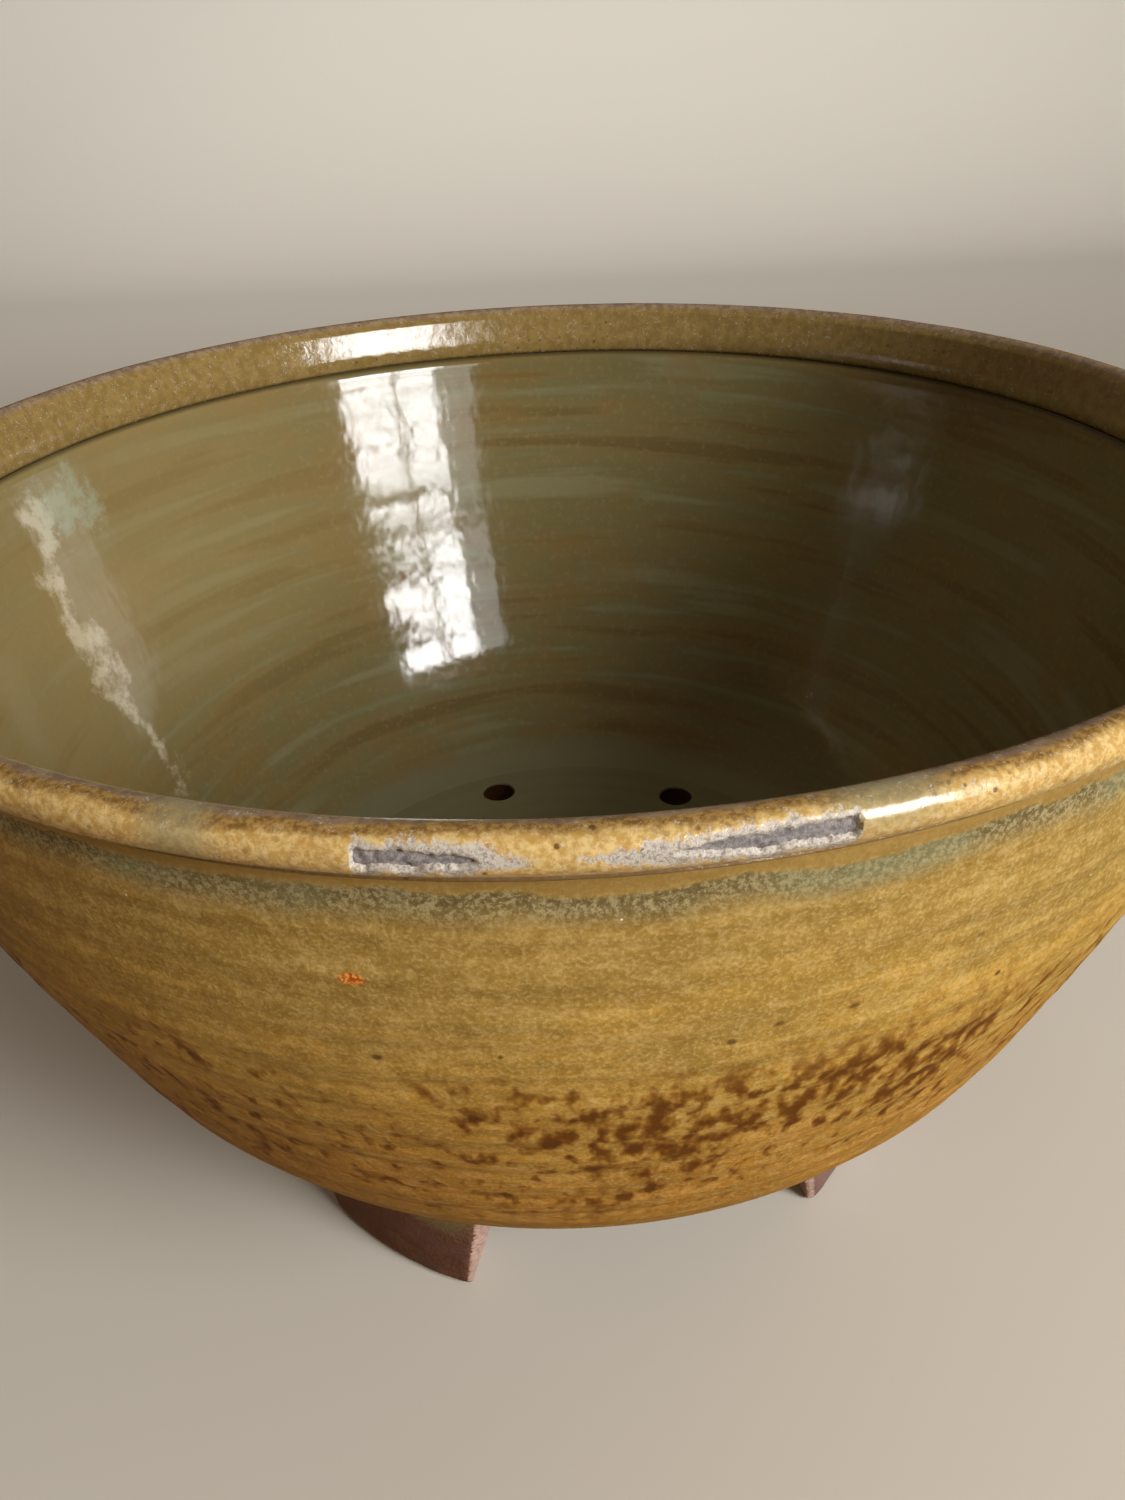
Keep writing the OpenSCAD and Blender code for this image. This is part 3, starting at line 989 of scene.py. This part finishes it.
def mark_cut_faces(mesh):
    """How far each point faces round the bowl, which tells the cut ends of the feet."""
    count = len(mesh.vertices)
    places = np.empty(count * 3)
    normals = np.empty(count * 3)
    mesh.vertices.foreach_get("co", places)
    mesh.vertex_normals.foreach_get("vector", normals)
    places, normals = places.reshape(-1, 3), normals.reshape(-1, 3)
    reach = np.hypot(places[:, 0], places[:, 1])
    tangent = np.stack([-places[:, 1], places[:, 0]], axis=1) / reach[:, None]
    facing = np.abs((normals[:, :2] * tangent).sum(axis=1))
    layer = mesh.attributes.new("cut_face", "FLOAT", "POINT")
    layer.data.foreach_set("value", facing.astype(np.float32))


def make_feet(material):
    """The turned ring under the bowl and the four feet that the notches leave of it."""
    low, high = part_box("foot_ring")
    names = [f"foot_{k}" for k in range(1, 5)]
    whole = remeshed(joined(["foot_ring", *names], high.z), voxel=0.7 * MM, smoothing=3)
    count = len(whole.vertices)
    places = np.empty(count * 3)
    whole.vertices.foreach_get("co", places)
    places = places.reshape(-1, 3)
    angle = np.arctan2(places[:, 1], places[:, 0])
    reach = np.hypot(places[:, 0], places[:, 1])
    lumps = waves(7, 40, 60, 120)
    lift = 0.035 * MM * lumps(angle, places[:, 2] + 0.7 * reach)
    places[:, :2] *= (1 + lift / reach)[:, None]
    places[:, 2] = np.maximum(places[:, 2], 0.0)
    whole.vertices.foreach_set("co", places.reshape(-1))
    whole.update()

    level = low.z - 0.6 * MM
    mesh = foot_part("foot_ring_clay", whole, level, above=True)
    mark_cut_faces(mesh)
    add_piece("foot_ring_clay", mesh, material, "iron_washed_clay", "foot_ring")
    for name in names:
        near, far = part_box(name)
        middle = math.atan2(near.y + far.y, near.x + far.x)
        mesh = foot_part(f"{name}_clay", whole, level, above=False, middle=middle)
        mark_cut_faces(mesh)
        add_piece(f"{name}_clay", mesh, material, "iron_washed_clay", name)
    bpy.data.meshes.remove(whole)


def main():
    """The studio, the five materials and the pieces that wear them."""
    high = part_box("rim_glaze")[1]
    bead_r = GLAZE + CLAY_BEAD_R
    bead_z = high.z - bead_r
    rim_r = high.x - bead_r
    crease_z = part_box("outer_glaze")[1].z
    groove_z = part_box("inner_wall_glaze")[1].z
    floor_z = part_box("floor_glaze")[1].z
    make_camera()
    make_lights()
    make_stage()
    outer = paint_outer_glaze(crease_z)
    olive = paint_inner_glaze(groove_z, floor_z)
    rim = paint_rim_glaze(bead_z, bead_r, rim_r, groove_z)
    clay = paint_clay("stoneware_clay", (0.16, 0.15, 0.16), (0.34, 0.32, 0.335), 61.0)
    feet = paint_feet()
    make_outer_glaze(outer)
    make_inner_glaze(olive)
    make_rim(rim, clay, bead_z, bead_r, rim_r)
    make_floor(olive, clay)
    make_feet(feet)
    wall = frame["nodes"]["bowl_wall"]
    wall.data.materials.clear()
    wall.data.materials.append(clay)


main()
